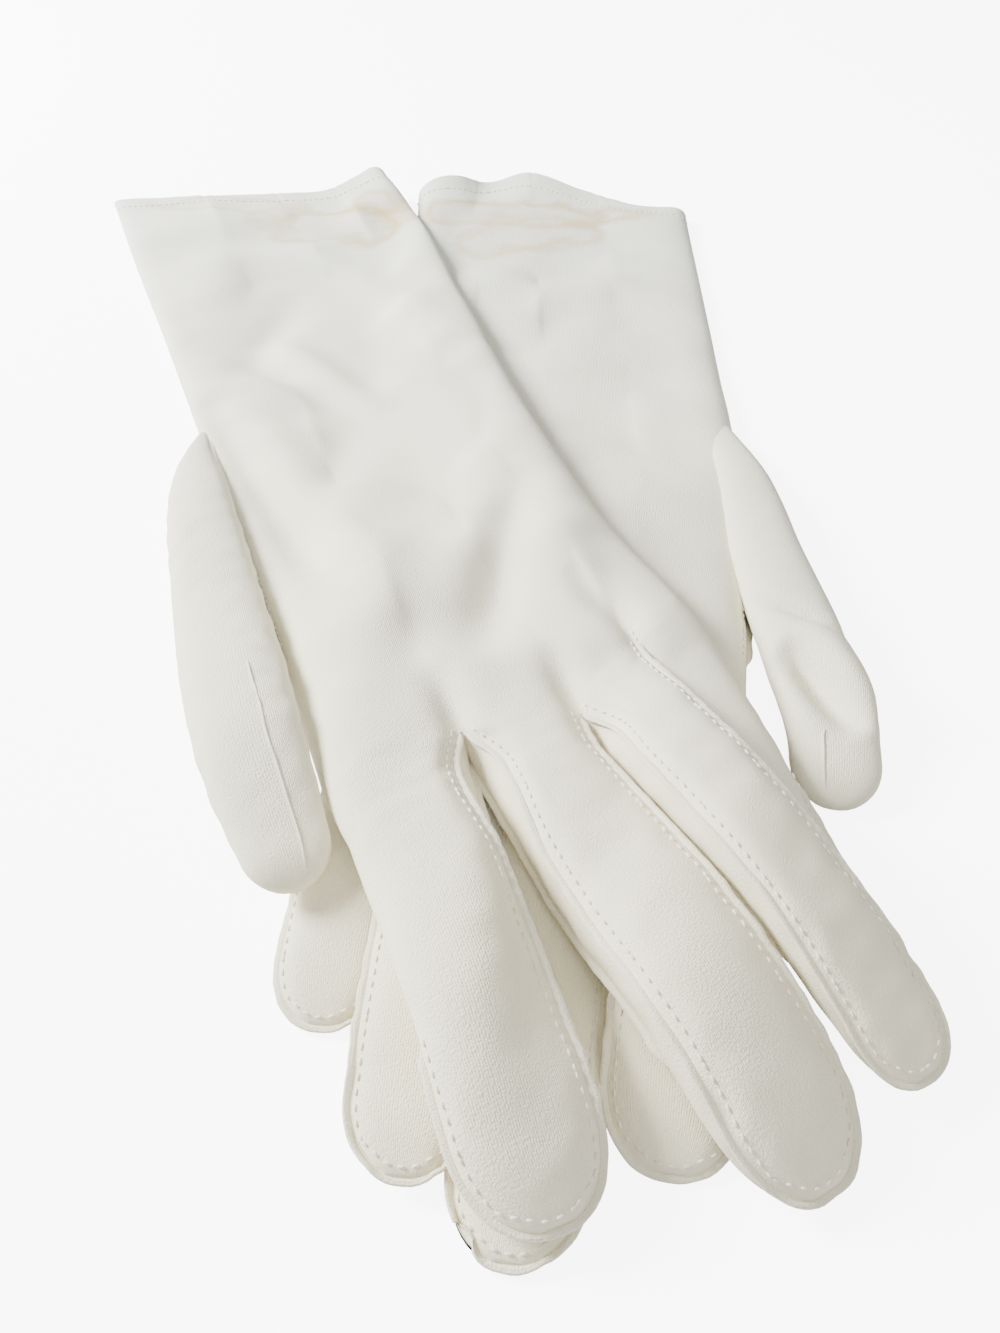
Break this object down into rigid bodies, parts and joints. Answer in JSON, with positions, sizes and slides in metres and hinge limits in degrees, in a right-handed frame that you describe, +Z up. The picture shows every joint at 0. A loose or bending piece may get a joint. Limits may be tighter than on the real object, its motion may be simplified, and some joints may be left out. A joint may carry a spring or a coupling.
{
  "type": "opera gloves",
  "caption": "Pair of mid-length ivory cloth dress gloves, one laid across the other, with set-in thumbs and fourchettes between the fingers.",
  "frame": {"origin": "on the table, under the middle of the pair as it lies", "axes": "+Z up; fingertips toward -Y, cuffs toward +Y; +X is to the right when looking along +Y from the fingertips"},
  "size_m": [0.1896, 0.3183, 0.0188],
  "materials": {
    "glove_cloth": "matte fine-ribbed double-woven nylon",
    "fourchette_cloth": "matte fine-ribbed double-woven nylon, cut across the rib"
  },
  "bodies": {
    "right_hand": {"right_hand_back": "glove_cloth", "right_hand_palm": "glove_cloth", "right_thumb_gusset": "fourchette_cloth"},
    "right_index": {"right_index_finger_back": "glove_cloth", "right_index_finger_palm": "glove_cloth", "right_index_fourchette_little_side": "fourchette_cloth"},
    "right_middle": {"right_middle_finger_back": "glove_cloth", "right_middle_finger_palm": "glove_cloth", "right_middle_fourchette_little_side": "fourchette_cloth", "right_middle_fourchette_thumb_side": "fourchette_cloth"},
    "right_ring": {"right_ring_finger_back": "glove_cloth", "right_ring_finger_palm": "glove_cloth", "right_ring_fourchette_little_side": "fourchette_cloth", "right_ring_fourchette_thumb_side": "fourchette_cloth"},
    "right_little": {"right_little_finger_back": "glove_cloth", "right_little_finger_palm": "glove_cloth", "right_little_fourchette_thumb_side": "fourchette_cloth"},
    "right_thumb": {"right_thumb_outer": "glove_cloth", "right_thumb_inner": "glove_cloth"},
    "left_hand": {"left_hand_back": "glove_cloth", "left_hand_palm": "glove_cloth", "left_thumb_gusset": "fourchette_cloth"},
    "left_index": {"left_index_finger_back": "glove_cloth", "left_index_finger_palm": "glove_cloth", "left_index_fourchette_little_side": "fourchette_cloth"},
    "left_middle": {"left_middle_finger_back": "glove_cloth", "left_middle_finger_palm": "glove_cloth", "left_middle_fourchette_little_side": "fourchette_cloth", "left_middle_fourchette_thumb_side": "fourchette_cloth"},
    "left_ring": {"left_ring_finger_back": "glove_cloth", "left_ring_finger_palm": "glove_cloth", "left_ring_fourchette_little_side": "fourchette_cloth", "left_ring_fourchette_thumb_side": "fourchette_cloth"},
    "left_little": {"left_little_finger_back": "glove_cloth", "left_little_finger_palm": "glove_cloth", "left_little_fourchette_thumb_side": "fourchette_cloth"},
    "left_thumb": {"left_thumb_outer": "glove_cloth", "left_thumb_inner": "glove_cloth"}
  },
  "joints": [
    {"name": "left_glove_lift", "type": "slide", "parent": "right_hand", "child": "left_hand", "axis": [0, 0, 1], "range_m": [0, 0.12]},
    {"name": "left_index_lift", "type": "hinge", "parent": "left_hand", "child": "left_index", "pos_m": [0.0154, -0.0988, 0.015], "axis": [-0.9336, -0.3584, 0], "range_deg": [0, 60]},
    {"name": "left_middle_lift", "type": "hinge", "parent": "left_hand", "child": "left_middle", "pos_m": [0.0352, -0.0923, 0.015], "axis": [-0.8686, -0.4955, 0], "range_deg": [0, 60]},
    {"name": "left_ring_lift", "type": "hinge", "parent": "left_hand", "child": "left_ring", "pos_m": [0.0576, -0.0817, 0.015], "axis": [-0.8862, -0.4633, 0], "range_deg": [0, 60]},
    {"name": "left_little_lift", "type": "hinge", "parent": "left_hand", "child": "left_little", "pos_m": [0.0576, -0.0817, 0.015], "axis": [-0.8862, -0.4633, 0], "range_deg": [0, 60]},
    {"name": "left_thumb_lift", "type": "hinge", "parent": "left_hand", "child": "left_thumb", "pos_m": [-0.0434, 0.0047, 0.0082], "axis": [-0.9444, -0.3289, 0], "range_deg": [0, 60]},
    {"name": "right_thumb_lift", "type": "hinge", "parent": "right_hand", "child": "right_thumb", "pos_m": [0.0908, 0.0089, 0.0082], "axis": [-0.998, 0.0628, 0], "range_deg": [0, 60]},
    {"name": "right_index_spread", "type": "hinge", "parent": "right_hand", "child": "right_index", "pos_m": [0.0733, -0.0917, 0.0035], "axis": [0, 0, 1], "range_deg": [0, 4]},
    {"name": "right_middle_spread", "type": "hinge", "parent": "right_hand", "child": "right_middle", "pos_m": [0.0503, -0.0915, 0.0035], "axis": [0, 0, 1], "range_deg": [0, 1.4]},
    {"name": "right_little_spread", "type": "hinge", "parent": "right_hand", "child": "right_little", "pos_m": [0.0005, -0.0864, 0.0035], "axis": [0, 0, -1], "range_deg": [0, 4]},
    {"name": "right_ring_spread", "type": "hinge", "parent": "right_hand", "child": "right_ring", "pos_m": [0.0164, -0.089, 0.0035], "axis": [0, 0, -1], "range_deg": [0, 1.4]}
  ],
  "couplings": [
    {"joint": "left_little_lift", "follows": "left_ring_lift", "ratio": 1},
    {"joint": "right_middle_spread", "follows": "right_index_spread", "ratio": 0.35},
    {"joint": "right_ring_spread", "follows": "right_little_spread", "ratio": 0.35}
  ]
}
